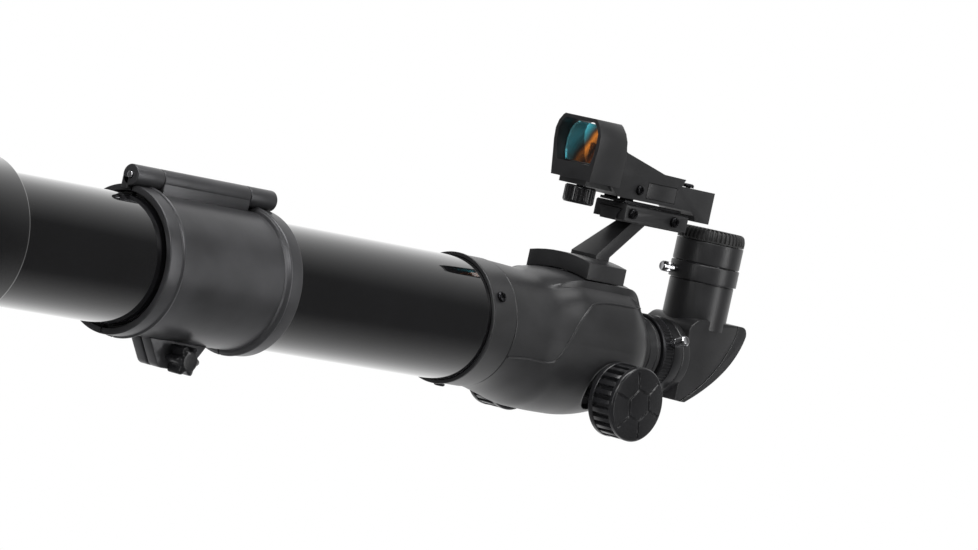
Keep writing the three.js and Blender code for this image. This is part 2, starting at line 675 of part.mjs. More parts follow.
function addDiagonal() {
  const x = EYEPIECE_X;
  const front = COLLAR_REAR + 0.8;
  const half = 19.5;
  const neck = rod(front, front + 7.5, 23.6, { sides: MEDIUM_ROUND });
  const barrel = turned(
    [[20, 0], [20, 20.6], [51, 20.6], [51, 21.9], [BARREL_TOP - 0.5, 21.9], [BARREL_TOP, 21.4], [BARREL_TOP, 0]],
    { aim: AIM.z, at: [x, 0, 0], sides: MEDIUM_ROUND },
  );
  const pocketSide = [
    [x - 15, -15.5],
    [x - 15, 15],
    [x + 15.5, 15],
    [x + 15.5, 60],
    [x + 60, 60],
    [x - 15, -60],
  ];
  const belowMirror = [
    [x - 20, -60],
    [x + 80, -60],
    [x + 80, 42],
    [x - 20, -58],
  ];
  const inward = cut(slab(pocketSide, [-15, 15]), slab(belowMirror, [-20, 20]));
  const clamp = THREE.MathUtils.degToRad(15);
  const tilt = new THREE.Matrix4().makeRotationZ(Math.PI - clamp);
  const bores = [
    rod(front - 2, x, 14.2, { sides: MEDIUM_ROUND }),
    rod(0, 80, NOSE_RADIUS + GAP, { aim: AIM.z, at: [x, 0, 0], sides: MEDIUM_ROUND }),
    rod(front - 2, front + 5, NOSE_RADIUS + GAP, { sides: MEDIUM_ROUND }),
    rod(10, 30, 2.2, { aim: tilt, at: [x, 0, 56] }),
    inward,
  ];
  const body = joined(neck, slab(diagonalSide(x, front, 0, 28), [-half, half]), barrel);
  piece('diagonal_body', cut(body, ...bores), MATERIAL.blackPlastic);

  const plate = new THREE.Shape();
  plate.moveTo(x - 20 + GAP, -25 - GAP);
  plate.lineTo(x - 14.5, -25 - GAP);
  plate.quadraticCurveTo(x + 26, -3, x + 31.3, 22.5);
  plate.lineTo(x + 29.8, 26.5);
  plate.lineTo(x + 26.5, 28);
  plate.lineTo(x + 10, 28);
  const cover = cut(slab(plate, [-half, half]), slab(diagonalSide(x, front, GAP, 40), [-half - 1, half + 1]));
  piece('diagonal_cover', cover, MATERIAL.blackPlastic);

  const leg = 13.6;
  const prism = [[x - leg, -leg + 1], [x + leg, leg + 1], [x - leg, leg + 1]];
  piece('diagonal_prism', slab(prism, [-14, 14]), MATERIAL.glass);
  const nose = [
    [front - 28, 14],
    [front + 4.6, 14],
    [front + 4.6, NOSE_RADIUS],
    [front - 28, NOSE_RADIUS],
  ];
  piece('diagonal_nosepiece', turned(nose, { sides: MEDIUM_ROUND }), MATERIAL.steel);

  const reach = NOSE_RADIUS + GAP;
  const at = [x - reach * Math.cos(clamp), reach * Math.sin(clamp), 56];
  piece('eyepiece_thumbscrew', thumbscrew({ aim: tilt, at, reach: 6.4 }), MATERIAL.steel);
}

function addEyepiece() {
  const options = { aim: AIM.z, at: [EYEPIECE_X, 0, 0], sides: MEDIUM_ROUND };
  const base = BARREL_TOP + GAP;
  const inner = NOSE_RADIUS - 1.2;
  const barrel = [
    [38, inner],
    [base + 6, inner],
    [base + 6, NOSE_RADIUS],
    [38, NOSE_RADIUS],
  ];
  piece('eyepiece_barrel', turned(barrel, options), MATERIAL.steel);
  const body = [
    [base, NOSE_RADIUS + GAP],
    [base + 6.3, NOSE_RADIUS + GAP],
    [base + 6.3, 13.2],
    [CUP_BASE + 2.2, 13.2],
    [CUP_BASE + 2.2, 17.4],
    [CUP_BASE, 17.4],
    [CUP_BASE, 21.5],
    [base + 0.6, 21.5],
    [base, 21],
  ];
  piece('eyepiece_body', turned(body, options), MATERIAL.blackPlastic);
  const cup = [
    [CUP_BASE + GAP, 17.4 + GAP],
    [CUP_BASE + 2.5, 17.4 + GAP],
    [CUP_BASE + 2.5, 13.4],
    [EYEPIECE_TOP - 3, 13.6],
    [EYEPIECE_TOP - 0.8, 15.5],
    [EYEPIECE_TOP, 16.2],
    [EYEPIECE_TOP, 18],
    [EYEPIECE_TOP - 1.4, 20.2],
    [EYEPIECE_TOP - 4.4, 21.4],
    [CUP_BASE + GAP, 21.5],
  ];
  piece('eyecup', turned(cup, options), MATERIAL.softBlack);
  piece('field_lens', turned([[51, 0], [51, 12.5], [53, 12.5], [56, 0]], options), MATERIAL.glass);
  const eye = [[70.6, 0], [70.6, 10.5], [74.4, 10.5], [75.4, 0]];
  piece('eye_lens', turned(eye, options), MATERIAL.glass);
}

// ---- Finder shoe, bracket and reflex sight ------------------------------------------------------------------
function arched(half, bottom, top, rise) {
  const shape = new THREE.Shape();
  shape.moveTo(-half, bottom);
  shape.quadraticCurveTo(0, bottom + 2 * rise, half, bottom);
  shape.lineTo(half, top);
  shape.quadraticCurveTo(0, top + 2 * rise, -half, top);
  return shape;
}

function addShoeAndBracket() {
  const f = HOUSING_FRONT;
  const foot = [f + 113, f + 125.6];
  const block = bar(arched(SHOE_HALF, 39.5, 50, 3), [SHOE_FRONT, SHOE_REAR]);
  const pocket = box([foot[0] - GAP, foot[1] + GAP], [-10.8, 10.8], [46, 60]);
  piece('finder_shoe', cut(block, pocket), MATERIAL.blackPlastic);

  const arm = slab(
    [
      [foot[0], 46 + GAP],
      [foot[1], 46 + GAP],
      [foot[1], 55],
      [f + 158, RAIL_BOTTOM + 1],
      [f + 145, RAIL_BOTTOM + 1],
      [foot[0], 55],
    ],
    [-12, 12],
  );
  const armFront = [
    [-10.5, 46],
    [10.5, 46],
    [10.5, 55],
    [6, RAIL_BOTTOM + 2],
    [-6, RAIL_BOTTOM + 2],
    [-10.5, 55],
  ];
  const taper = bar(armFront, [f, f + 200]);
  const rail = bar(
    [
      [-6.5, RAIL_BOTTOM],
      [6.5, RAIL_BOTTOM],
      [6.5, 82],
      [9, 86.2],
      [-9, 86.2],
      [-6.5, 82],
    ],
    [f + 127.5, f + 189.5],
  );
  piece('finder_bracket', joined(arm.intersect(taper), rail), MATERIAL.blackPlastic);
}

function addFinderBase() {
  const f = HOUSING_FRONT;
  const low = 79.4;
  const top = CLAMP_TOP;
  const clampShape = [
    [-13, low],
    [-7.1, low],
    [-7.1, 82.4],
    [-9.5, 86.55],
    [9.5, 86.55],
    [7.1, 82.4],
    [7.1, low],
    [13, low],
    [13, top - 1],
    [12, top],
    [-12, top],
    [-13, top - 1],
  ];
  const screwX = [f + 134.8, f + 175];
  const screwZ = 84.4;
  const clampBar = cut(
    bar(clampShape, [f + 128.5, f + 188.5]),
    rod(86, 95, 3.4, { aim: AIM.z, at: [PIVOT_X, 0, 0] }),
    ...screwX.map((x) => rod(9, 20, 1.8, { aim: AIM.near, at: [x, 0, screwZ] })),
  );
  piece('finder_clamp', clampBar, MATERIAL.blackPlastic);
  screwX.forEach((x, i) => {
    const at = [x, -13 - GAP, screwZ];
    const whole = screw({ head: 3.3, height: 2.4, shank: 1.5, length: 3, aim: AIM.near, at });
    piece(`clamp_screw_${i + 1}`, whole, MATERIAL.blackSteel);
  });
  const ear = (y) => box([PIVOT_X - 5, PIVOT_X + 5], y, [91, 98]);
  const yoke = cut(
    joined(
      box([PIVOT_X - 5.5, f + 183], [-10.5, 10.5], [CLAMP_TOP + GAP, 92]),
      ear([-8, -5]),
      ear([5, 8]),
      rod(86.9, 91, 3, { aim: AIM.z, at: [PIVOT_X, 0, 0] }),
    ),
    rod(-20, 20, 1.8, { aim: AIM.y, at: [PIVOT_X, 0, 95.5] }),
  );
  piece('finder_yoke', yoke, MATERIAL.blackMetal);
  const pin = rod(-8, 8, 1.5, { aim: AIM.y, at: [PIVOT_X, 0, 95.5] });
  piece('finder_pivot_pin', pin, MATERIAL.steel);
}

// Mirrored outline from [half width, height] points that run from the bottom to the top.
function symmetric(points) {
  return [...points, ...points.map(([y, z]) => [-y, z]).reverse()];
}

function hoodOutline(half, low, high, corner) {
  return [
    [-half, low],
    [half, low],
    [half, high - corner],
    [half - corner, high],
    [corner - half, high],
    [-half, high - corner],
  ];
}

function addFinder() {
  const f = HOUSING_FRONT;
  const floor = 93.2;
  const deck = 107.3; // top of the block at the finder's rear end
  const chin = 98.5;
  const hoodSide = slab(
    [
      [FINDER_X + 1.9, chin],
      [f + 114, chin],
      [f + 112, 118],
      [f + 110, 124],
      [f + 107.3, 137],
      [FINDER_X, 137],
    ],
    [-20, 20],
  );
  const hoodFront = symmetric([
    [16.2, chin],
    [17.8, 112],
    [18.9, 120],
    [19, 127],
    [17.4, 132],
    [14.6, 135.8],
    [13, 137],
  ]);
  const hood = hoodSide.intersect(bar(hoodFront, [f + 70, f + 120]));
  const keel = box([f + 88, f + 120], [-11, 11], [95.3, chin + 2]);
  const rear = slab(
    [
      [f + 107, 99.4],
      [f + 117.5, floor],
      [f + 188, floor],
      [f + 192.5, 90.6],
      [f + 194, 87.3],
      [FINDER_REAR, 87.3],
      [FINDER_REAR, deck],
      [f + 174.8, deck],
      [f + 177.5, 112],
      [f + 156.5, 112.4],
      [f + 118, 120.8],
      [f + 111.5, 123.5],
      [f + 107, 112],
    ],
    [-14, 14],
  );
  const ears = [[-9, -4.4], [4.4, 9]].map((y) => box([PIVOT_X - 6.5, PIVOT_X + 6.5], y, [90, 99.6]));
  const windowFront = symmetric([
    [13.5, 108.2],
    [15.4, 114],
    [16.4, 121],
    [16.3, 128],
    [14.6, 132],
    [11.8, 134.6],
  ]);
  const window = bar(windowFront, [f + 70, f + 114]);
  const trough = box([f + 112, f + 158], [-10.5, 10.5], [104, 130]);
  const drawer = box([f + 146, f + 168], [-15, 10.8], [96.6, 101.4]);
  const recess = box([f + 143, f + 171], [-15, -12.4], [95.4, 105.6]);
  const body = cut(
    joined(hood, rear, keel),
    window,
    trough,
    bar(hoodOutline(8, 104, 110.6, 2), [f + 150, f + 172]),
    ...ears,
    rod(-6, 6, 1.8, { aim: AIM.y, at: [PIVOT_X, 0, 95.5] }),
    drawer,
    recess,
    rod(90, 106, 3.4, { aim: AIM.z, at: [DIMMER_X, 0, 0] }),
    rod(86, 112, 1.8, { aim: AIM.z, at: [f + 197, 0, 0] }),
    rod(9, 15, 1.8, { aim: AIM.near, at: [f + 135.7, 0, 99.7] }),
  );
  piece('finder_body', body, MATERIAL.blackPlastic);

  const paneOutline = outline(symmetric([
    [12.8, -12],
    [15.1, -6],
    [15.9, 1],
    [15.4, 7],
    [13.6, 10.6],
    [10.6, 12.6],
  ]));
  const pane = new THREE.ExtrudeGeometry(paneOutline, { depth: 2, bevelEnabled: false });
  const basis = new THREE.Matrix4().makeBasis(
    new THREE.Vector3(0, 1, 0),
    new THREE.Vector3(0, 0, 1),
    new THREE.Vector3(1, 0, 0),
  );
  pane.applyMatrix4(basis);
  pane.rotateY(THREE.MathUtils.degToRad(7));
  piece('finder_lens', placed(pane, [f + 93, 0, 121.3]), MATERIAL.coatedGlass);
  piece('finder_emitter', rod(f + 163, f + 170, 2.4, { at: [0, 0, 107.2] }), MATERIAL.red);
  const door = joined(
    box([f + 143.4, f + 170.6], [-14, -12.8], [95.8, 105.2]),
    cut(
      box([f + 146.4, f + 167.6], [-13.4, 10.4], [97, 101]),
      rod(98, 103, 10.3, { aim: AIM.z, at: [f + 157, -0.6, 0], sides: 20 }),
    ),
  );
  piece('battery_drawer', door, MATERIAL.blackPlastic);
  const cell = rod(98.3, 101, 10, { aim: AIM.z, at: [f + 157, -0.6, 0], sides: 20 });
  piece('battery_cell', cell, MATERIAL.steel);

  const knob = turned(
    [[83.8, 0], [83.8, 8.8], [85, 9.8], [93.8, 9.8], [94.8, 8.8], [94.8, 3], [103, 3], [103, 0]],
    { aim: AIM.z, at: [DIMMER_X, 0, 0], sides: 20 },
  );
  piece('dimmer_knob', knob, MATERIAL.blackPlastic);
  const seat = [f + 197, 0, deck + GAP];
  const altitude = screw({ head: 3.6, height: 2.4, shank: 1.5, length: 15, aim: AIM.z, at: seat });
  piece('altitude_screw', altitude, MATERIAL.blackSteel);
  const sideAt = [f + 135.7, -14 - GAP, 99.7];
  const side = screw({ head: 3.1, height: 1.6, shank: 1.5, length: 3.6, aim: AIM.near, at: sideAt });
  piece('windage_screw', side, MATERIAL.blackSteel);
}

addMainTube();
addObjective();
addDewShield();
addCradle();
addClamp();
addDovetail();
addHousing();
addDrawtube();
addPinion();
piece('focus_knob_near', knobSolid(AIM.near), MATERIAL.blackPlastic);
piece('focus_knob_far', knobSolid(AIM.y), MATERIAL.blackPlastic);
addDiagonal();
addEyepiece();
addShoeAndBracket();
addFinderBase();
addFinder();

export default telescope;
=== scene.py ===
"""Looks of a small refractor telescope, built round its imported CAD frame."""

import json
import math

import bmesh
import bpy
import numpy as np
from mathutils import Matrix, Vector


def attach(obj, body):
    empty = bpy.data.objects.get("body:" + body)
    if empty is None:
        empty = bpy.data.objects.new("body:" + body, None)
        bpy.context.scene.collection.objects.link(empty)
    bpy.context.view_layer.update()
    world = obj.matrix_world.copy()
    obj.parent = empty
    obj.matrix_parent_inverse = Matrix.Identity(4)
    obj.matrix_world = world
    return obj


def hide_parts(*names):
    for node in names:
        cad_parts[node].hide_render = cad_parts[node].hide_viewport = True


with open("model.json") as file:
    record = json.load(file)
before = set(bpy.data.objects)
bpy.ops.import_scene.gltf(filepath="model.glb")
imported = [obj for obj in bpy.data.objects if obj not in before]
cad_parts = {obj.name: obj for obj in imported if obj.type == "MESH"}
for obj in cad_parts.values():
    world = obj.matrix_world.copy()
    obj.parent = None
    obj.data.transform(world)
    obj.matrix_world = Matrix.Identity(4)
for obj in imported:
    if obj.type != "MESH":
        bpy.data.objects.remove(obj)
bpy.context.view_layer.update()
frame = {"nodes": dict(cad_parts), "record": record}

# ---- Sizes in millimetres. The optical axis is X, at AXIS_Y and height 0 in the row frame --------
MM = 0.001
AXIS_Y = -58.0
TUBE = 38.0
FRONT = 227.0  # front edge of the focuser housing
PINION = (FRONT + 121.5, -29.0)  # x and height of the focus shaft
KNOB_BACK, KNOB_FACE = 41.0, 63.3  # distance of the focus knobs' two ends from the middle plane
KNOB = 23.3
EYE_X = FRONT + 230.0  # vertical axis of the diagonal's barrel
NOSE = 15.7
RACK_SLOT = 3.9  # half the width of the slot that lets the rack out at the focuser's rear
FINE, MEDIUM, COARSE = 192, 96, 48  # sides of large, middle and small turned pieces

X, Y, Z = Vector((1, 0, 0)), Vector((0, 1, 0)), Vector((0, 0, 1))
NEAR = -Y


# ---- Materials -----------------------------------------------------------------------------------
def surface(name, color, rough, *, metallic=0.0, spread=0.25, rough_spread=0.08, grain=900.0, bump=0.02,
            stretch=(1, 1, 1), patch=45.0, coat=0.0, coat_rough=0.05, specular=0.5, sheen=0.0):
    """Principled surface with mottled colour, uneven roughness and fine relief, all in object space."""
    made = bpy.data.materials.new(name)
    made.use_nodes = True
    nodes, links = made.node_tree.nodes, made.node_tree.links
    shader = nodes["Principled BSDF"]
    where = nodes.new("ShaderNodeTexCoord")
    mapping = nodes.new("ShaderNodeMapping")
    mapping.inputs["Scale"].default_value = stretch
    links.new(where.outputs["Object"], mapping.inputs["Vector"])

    broad = nodes.new("ShaderNodeTexNoise")
    broad.inputs["Scale"].default_value = patch
    broad.inputs["Detail"].default_value = 5
    links.new(where.outputs["Object"], broad.inputs["Vector"])
    ramp = nodes.new("ShaderNodeValToRGB")
    low, high = ramp.color_ramp.elements
    low.position, high.position = 0.3, 0.72
    low.color = (*[c * (1 - spread) for c in color], 1)
    high.color = (*[min(1, c * (1 + spread)) for c in color], 1)
    links.new(broad.outputs["Fac"], ramp.inputs["Fac"])
    links.new(ramp.outputs["Color"], shader.inputs["Base Color"])

    fine = nodes.new("ShaderNodeTexNoise")
    fine.inputs["Scale"].default_value = grain
    fine.inputs["Detail"].default_value = 3
    links.new(mapping.outputs["Vector"], fine.inputs["Vector"])
    level = nodes.new("ShaderNodeMapRange")
    level.inputs["To Min"].default_value = max(0.02, rough - rough_spread)
    level.inputs["To Max"].default_value = rough + rough_spread
    mixed = nodes.new("ShaderNodeMath")
    mixed.operation = "MULTIPLY_ADD"
    mixed.inputs[1].default_value = 0.5
    links.new(fine.outputs["Fac"], mixed.inputs[0])
    half = nodes.new("ShaderNodeMath")
    half.operation = "MULTIPLY"
    half.inputs[1].default_value = 0.5
    links.new(broad.outputs["Fac"], half.inputs[0])
    links.new(half.outputs["Value"], mixed.inputs[2])
    links.new(mixed.outputs["Value"], level.inputs["Value"])
    links.new(level.outputs["Result"], shader.inputs["Roughness"])
    if bump:
        relief = nodes.new("ShaderNodeBump")
        relief.inputs["Strength"].default_value = bump
        relief.inputs["Distance"].default_value = 0.0004
        links.new(fine.outputs["Fac"], relief.inputs["Height"])
        links.new(relief.outputs["Normal"], shader.inputs["Normal"])
    shader.inputs["Metallic"].default_value = metallic
    shader.inputs["Coat Weight"].default_value = coat
    shader.inputs["Coat Roughness"].default_value = coat_rough
    shader.inputs["Specular IOR Level"].default_value = specular
    shader.inputs["Sheen Weight"].default_value = sheen
    return made


def clear_glass(name, tint):
    made = surface(name, tint, 0.03, spread=0.03, rough_spread=0.01, grain=300, bump=0.0, patch=30)
    shader = made.node_tree.nodes["Principled BSDF"]
    shader.inputs["Transmission Weight"].default_value = 1.0
    shader.inputs["IOR"].default_value = 1.52
    return made


def lens_painted_reflection(name):
    """The finder's lens, with its coating's reflections painted into its colour: clear cyan towards its upper
    far corner, amber streaks elsewhere.
    """
    made = surface(name, (0.1, 0.1, 0.1), 0.05, rough_spread=0.02, bump=0.0, coat=1.0)
    nodes, links = made.node_tree.nodes, made.node_tree.links
    shader = nodes["Principled BSDF"]
    shader.inputs["Transmission Weight"].default_value = 0.85
    where = nodes.new("ShaderNodeTexCoord")
    parts = nodes.new("ShaderNodeSeparateXYZ")
    links.new(where.outputs["Object"], parts.inputs["Vector"])
    across = nodes.new("ShaderNodeMapRange")
    across.inputs["From Min"].default_value = -0.0716
    across.inputs["From Max"].default_value = -0.0444
    links.new(parts.outputs["Y"], across.inputs["Value"])
    height = nodes.new("ShaderNodeMapRange")
    height.inputs["From Min"].default_value = 0.106
    height.inputs["From Max"].default_value = 0.133
    links.new(parts.outputs["Z"], height.inputs["Value"])
    slant = nodes.new("ShaderNodeMath")
    slant.operation = "MULTIPLY_ADD"
    slant.inputs[1].default_value = 0.55
    links.new(height.outputs["Result"], slant.inputs[0])
    links.new(across.outputs["Result"], slant.inputs[2])
    streak = nodes.new("ShaderNodeTexNoise")
    streak.inputs["Scale"].default_value = 60
    streak.inputs["Detail"].default_value = 2
    links.new(where.outputs["Object"], streak.inputs["Vector"])
    shifted = nodes.new("ShaderNodeMath")
    shifted.operation = "MULTIPLY_ADD"
    shifted.inputs[1].default_value = 0.3
    links.new(streak.outputs["Fac"], shifted.inputs[0])
    links.new(slant.outputs["Value"], shifted.inputs[2])
    # Colours of the painted reflections: dark gaps, amber streaks and cyan glare, placed by height and across.
    ramp = nodes.new("ShaderNodeValToRGB")
    stops = [
        (0.10, (0.010, 0.006, 0.004)), (0.30, (0.55, 0.14, 0.015)), (0.38, (0.03, 0.012, 0.006)),
        (0.52, (0.75, 0.24, 0.03)), (0.60, (0.05, 0.03, 0.02)), (0.74, (0.05, 0.35, 0.42)),
        (0.84, (0.16, 0.68, 0.80)), (1.0, (0.30, 0.80, 0.88)),
    ]
    band = ramp.color_ramp
    band.elements[0].position, band.elements[1].position = stops[0][0], stops[-1][0]
    band.elements[0].color, band.elements[1].color = (*stops[0][1], 1), (*stops[-1][1], 1)
    for place, color in stops[1:-1]:
        band.elements.new(place).color = (*color, 1)
    scaled = nodes.new("ShaderNodeMath")
    scaled.operation = "MULTIPLY"
    scaled.inputs[1].default_value = 0.62
    links.new(shifted.outputs["Value"], scaled.inputs[0])
    links.new(scaled.outputs["Value"], ramp.inputs["Fac"])
    links.new(ramp.outputs["Color"], shader.inputs["Base Color"])
    return made


MATERIALS = {
    "gloss_tube": surface("gloss_enamel", (0.004, 0.004, 0.0045), 0.05, rough_spread=0.015, bump=0.0,
                          patch=20, coat=1.0, coat_rough=0.02),
    "cradle_shell": surface("satin_shell", (0.055, 0.055, 0.058), 0.34, metallic=0.55, rough_spread=0.07,
                            grain=260, bump=0.06, stretch=(9, 1, 1), patch=25),
    "black_metal": surface("black_anodised", (0.022, 0.022, 0.024), 0.36, metallic=0.7, grain=1400,
                           bump=0.05),
    "black_plastic": surface("moulded_plastic", (0.016, 0.016, 0.017), 0.36, grain=1500, bump=0.09),
    "knob_plastic": surface("knob_plastic", (0.010, 0.010, 0.011), 0.24, grain=900, bump=0.03),
    "felt": surface("felt", (0.010, 0.010, 0.010), 0.95, grain=2500, bump=0.5, sheen=0.4),
    "rubber": surface("eyecup_rubber", (0.018, 0.018, 0.018), 0.55, grain=1200, bump=0.08),
    "bright_steel": surface("bright_steel", (0.62, 0.62, 0.64), 0.16, metallic=1.0, spread=0.06, grain=700,
                            bump=0.02, stretch=(1, 6, 6)),
    "black_steel": surface("black_oxide", (0.020, 0.020, 0.022), 0.26, metallic=0.9, grain=900, bump=0.03),
    "draw_aluminium": surface("drawn_aluminium", (0.42, 0.42, 0.44), 0.22, metallic=1.0, spread=0.05,
                              grain=500, bump=0.03, stretch=(0.4, 6, 6)),
    "glass": clear_glass("lens_glass", (0.88, 0.95, 0.97)),
    # The finder's lens, with coloured coating reflections painted into its base colour.
    "coated_glass": lens_painted_reflection("lens_painted_reflection"),
    "red_emitter": surface("red_emitter", (0.5, 0.02, 0.02), 0.15, spread=0.3, bump=0.01),
}


# ---- Mesh helpers: a shape is (points in millimetres about the optical axis, faces) --------------
def rounded(points, closed=False, steps=4):
    """A polyline with its corners rounded: a point may carry a third number, the corner's radius."""
    out = []
    count = len(points)
    for i, point in enumerate(points):
        here = np.array(point[:2], float)
        radius = point[2] if len(point) > 2 else 0.0
        if not radius or (not closed and i in (0, count - 1)):
            out.append(here)
            continue
        before = np.array(points[i - 1][:2], float)
        after = np.array(points[(i + 1) % count][:2], float)
        reach = min(radius, 0.48 * np.linalg.norm(before - here), 0.48 * np.linalg.norm(after - here))
        start = here + (before - here) / np.linalg.norm(before - here) * reach
        end = here + (after - here) / np.linalg.norm(after - here) * reach
        for step in range(steps + 1):
            t = step / steps
            out.append((1 - t) ** 2 * start + 2 * t * (1 - t) * here + t * t * end)
    return np.array(out)


def smooth_path(points, count):
    """Catmull-Rom curve through the points."""
    known = np.array(points, float)
    padded = np.vstack([2 * known[0] - known[1], known, 2 * known[-1] - known[-2]])
    out = []
    for s in np.linspace(0, len(known) - 1, count):
        i = min(int(s), len(known) - 2)
        t = s - i
        a, b, c, d = padded[i:i + 4]
        out.append(0.5 * ((2 * b) + (c - a) * t + (2 * a - 5 * b + 4 * c - d) * t ** 2
                          + (3 * b - a - 3 * c + d) * t ** 3))
    return np.array(out)


def dense(points, step):
    """A polyline with extra points, so that no stretch is longer than step."""
    out = [np.array(points[0], float)]
    for point in points[1:]:
        gap = np.array(point, float) - out[-1]
        pieces = max(1, math.ceil(np.linalg.norm(gap) / step))
        start = out[-1]
        out.extend(start + gap * (i + 1) / pieces for i in range(pieces))
    return np.array(out)


def turned(profile, *, aim=X, at=(0, 0, 0), sides=FINE, loop=True, relief=None, sweep=None, warp=None):
    """Turned shape: profile points are (distance along aim, radius). relief(x, r, phi) gives (dx, dr)."""
    profile = np.array(profile, float)
    if sweep is None:
        phi = np.arange(sides) * 2 * math.pi / sides
    else:
        phi = np.linspace(sweep[0], sweep[1], sides)
    half_turn = Matrix.Rotation(math.pi, 3, "Z")
    turn = half_turn if Vector(aim) == -X else X.rotation_difference(Vector(aim)).to_matrix()
    points, rows = [], []
    for x, r in profile:
        dx, dr = (0, 0) if relief is None else relief(x, r, phi)
        start = len(points)
        if r < 1e-6 and sweep is None:
            points.append((x + float(np.mean(dx)), 0.0, 0.0))
            rows.append([start] * sides)
            continue
        xs, rs = x + dx + 0 * phi, r + dr + 0 * phi
        points.extend(zip(xs, rs * np.cos(phi), rs * np.sin(phi)))
        rows.append(list(range(start, start + sides)))
    faces = []
    pairs = list(zip(rows, rows[1:])) + ([(rows[-1], rows[0])] if loop else [])
    for a, b in pairs:
        for i in range(sides if sweep is None else sides - 1):
            j = (i + 1) % sides
            face = [a[i], a[j], b[j], b[i]]
            face = [v for k, v in enumerate(face) if v != face[k - 1]]
            if len(face) > 2:
                faces.append(face)
    if sweep is not None:
        faces.append([row[0] for row in rows])
        faces.append([row[-1] for row in rows][::-1])
    points = np.array(points)
    if warp is not None:
        points = warp(points)
    return points @ np.array(turn).T + np.array(at, float), faces


def from_bmesh(mesh, scale=1.0, shift=(0, 0, 0)):
    mesh.verts.index_update()
    points = np.array([v.co for v in mesh.verts]) * scale + np.array(shift)
    faces = [[v.index for v in f.verts] for f in mesh.faces]
    mesh.free()
    return points, faces


def prism(outline, span, across, bevel=0.6, segments=3):
    """Outline extruded along one axis, with rounded edges. across is "x", "y" or "z"."""
    orders = {"x": lambda a, b, c: (c, a, b), "y": lambda a, b, c: (a, c, b), "z": lambda a, b, c: (a, b, c)}
    order = orders[across]
    mesh = bmesh.new()
    low = [mesh.verts.new(order(a, b, span[0])) for a, b in outline]
    high = [mesh.verts.new(order(a, b, span[1])) for a, b in outline]
    mesh.faces.new(low)
    mesh.faces.new(high[::-1])
    for i in range(len(low)):
        j = (i + 1) % len(low)
        mesh.faces.new([low[j], low[i], high[i], high[j]])
    bmesh.ops.recalc_face_normals(mesh, faces=mesh.faces)
    if bevel:
        sharp = [e for e in mesh.edges if e.calc_face_angle() > math.radians(25)]
        bmesh.ops.bevel(mesh, geom=sharp, offset=bevel, segments=segments, profile=0.5, affect="EDGES",
                        clamp_overlap=True)
    return from_bmesh(mesh)


def block(x, y, z, bevel=0.5):
    return prism([(x[0], y[0]), (x[1], y[0]), (x[1], y[1]), (x[0], y[1])], z, "z", bevel)


def refined(node, bevel=0.4, segments=2):
    """A CAD node's own shape with its flat faces whole and its edges rounded."""
    mesh = bmesh.new()
    mesh.from_mesh(frame["nodes"][node].data)
    bmesh.ops.scale(mesh, vec=(1 / MM,) * 3, verts=mesh.verts)
    bmesh.ops.remove_doubles(mesh, verts=mesh.verts, dist=0.002)
    bmesh.ops.dissolve_limit(mesh, angle_limit=math.radians(1), verts=mesh.verts, edges=mesh.edges)
    sharp = [e for e in mesh.edges if len(e.link_faces) == 2 and e.calc_face_angle() > math.radians(23)]
    bmesh.ops.bevel(mesh, geom=sharp, offset=bevel, segments=segments, profile=0.5, affect="EDGES",
                    clamp_overlap=True)
    return from_bmesh(mesh, shift=(0, -AXIS_Y, 0))


def swept(path, radius, sides=8):
    """A round bead along a path."""
    path = np.array(path, float)
    tangent = np.gradient(path, axis=0)
    tangent /= np.linalg.norm(tangent, axis=1)[:, None]
    points, faces = [], []
    for centre, direction in zip(path, tangent):
        side = np.cross(direction, (0.3, 0.9, 0.2))
        side /= np.linalg.norm(side)
        other = np.cross(direction, side)
        for i in range(sides):
            a = 2 * math.pi * i / sides
            points.append(centre + radius * (math.cos(a) * side + math.sin(a) * other))
    for k in range(len(path) - 1):
        for i in range(sides):
            j = (i + 1) % sides
            faces.append([k * sides + i, k * sides + j, (k + 1) * sides + j, (k + 1) * sides + i])
    faces.append(list(range(sides))[::-1])
    faces.append([(len(path) - 1) * sides + i for i in range(sides)])
    return np.array(points), faces


def merged(*shapes):
    points, faces, start = [], [], 0
    for shape_points, shape_faces in shapes:
        points.append(np.array(shape_points))
        faces.extend([[v + start for v in f] for f in shape_faces])
        start += len(shape_points)
    return np.vstack(points), faces


def piece(name, shape, body, slot, *nodes, smooth=35.0):
    """Makes a shown piece in the row frame, in metres."""
    points, faces = shape
    mesh = bpy.data.meshes.new(name)
    mesh.from_pydata(((points + np.array((0, AXIS_Y, 0))) * MM).tolist(), [], faces)
    work = bmesh.new()
    work.from_mesh(mesh)
    bmesh.ops.recalc_face_normals(work, faces=work.faces)
    work.to_mesh(mesh)
    work.free()
    mesh.shade_smooth()
    mesh.set_sharp_from_angle(angle=math.radians(smooth))
    made = bpy.data.objects.new(name, mesh)
    bpy.context.scene.collection.objects.link(made)
    made.data.materials.append(MATERIALS[slot])
    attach(made, body)
    if nodes:
        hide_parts(*nodes)
    return made


def pulse(phase, fill=0.5, soft=0.12):
    """1 on the first part of each turn of phase and 0 on the rest, with soft flanks."""
    phase = phase % 1.0
    rise = np.clip(phase / soft, 0, 1)
    fall = np.clip((fill + soft - phase) / soft, 0, 1)
    wave = np.minimum(rise, fall)
    return wave * wave * (3 - 2 * wave)


def ribs(count, depth, start, end, fill=0.5):
    """Relief of lengthwise ribs between two distances along the axis."""
    def relief(x, r, phi):
        inside = start <= x <= end
        return 0, -depth * (1 - pulse(phi * count / (2 * math.pi), fill)) if inside else 0
    return relief


def cross_recess(face, half_length, half_width, depth):
    """Relief of a cross-head recess in a screw's face."""
    def relief(x, r, phi):
        if x < face or r > half_length + 0.5:
            return 0, 0
        u, v = r * np.cos(phi), r * np.sin(phi)
        arm = np.minimum(np.maximum(np.abs(u) / half_length, np.abs(v) / half_width),
                         np.maximum(np.abs(v) / half_length, np.abs(u) / half_width))
        return -depth * np.clip((1.15 - arm) / 0.3, 0, 1), 0
    return relief


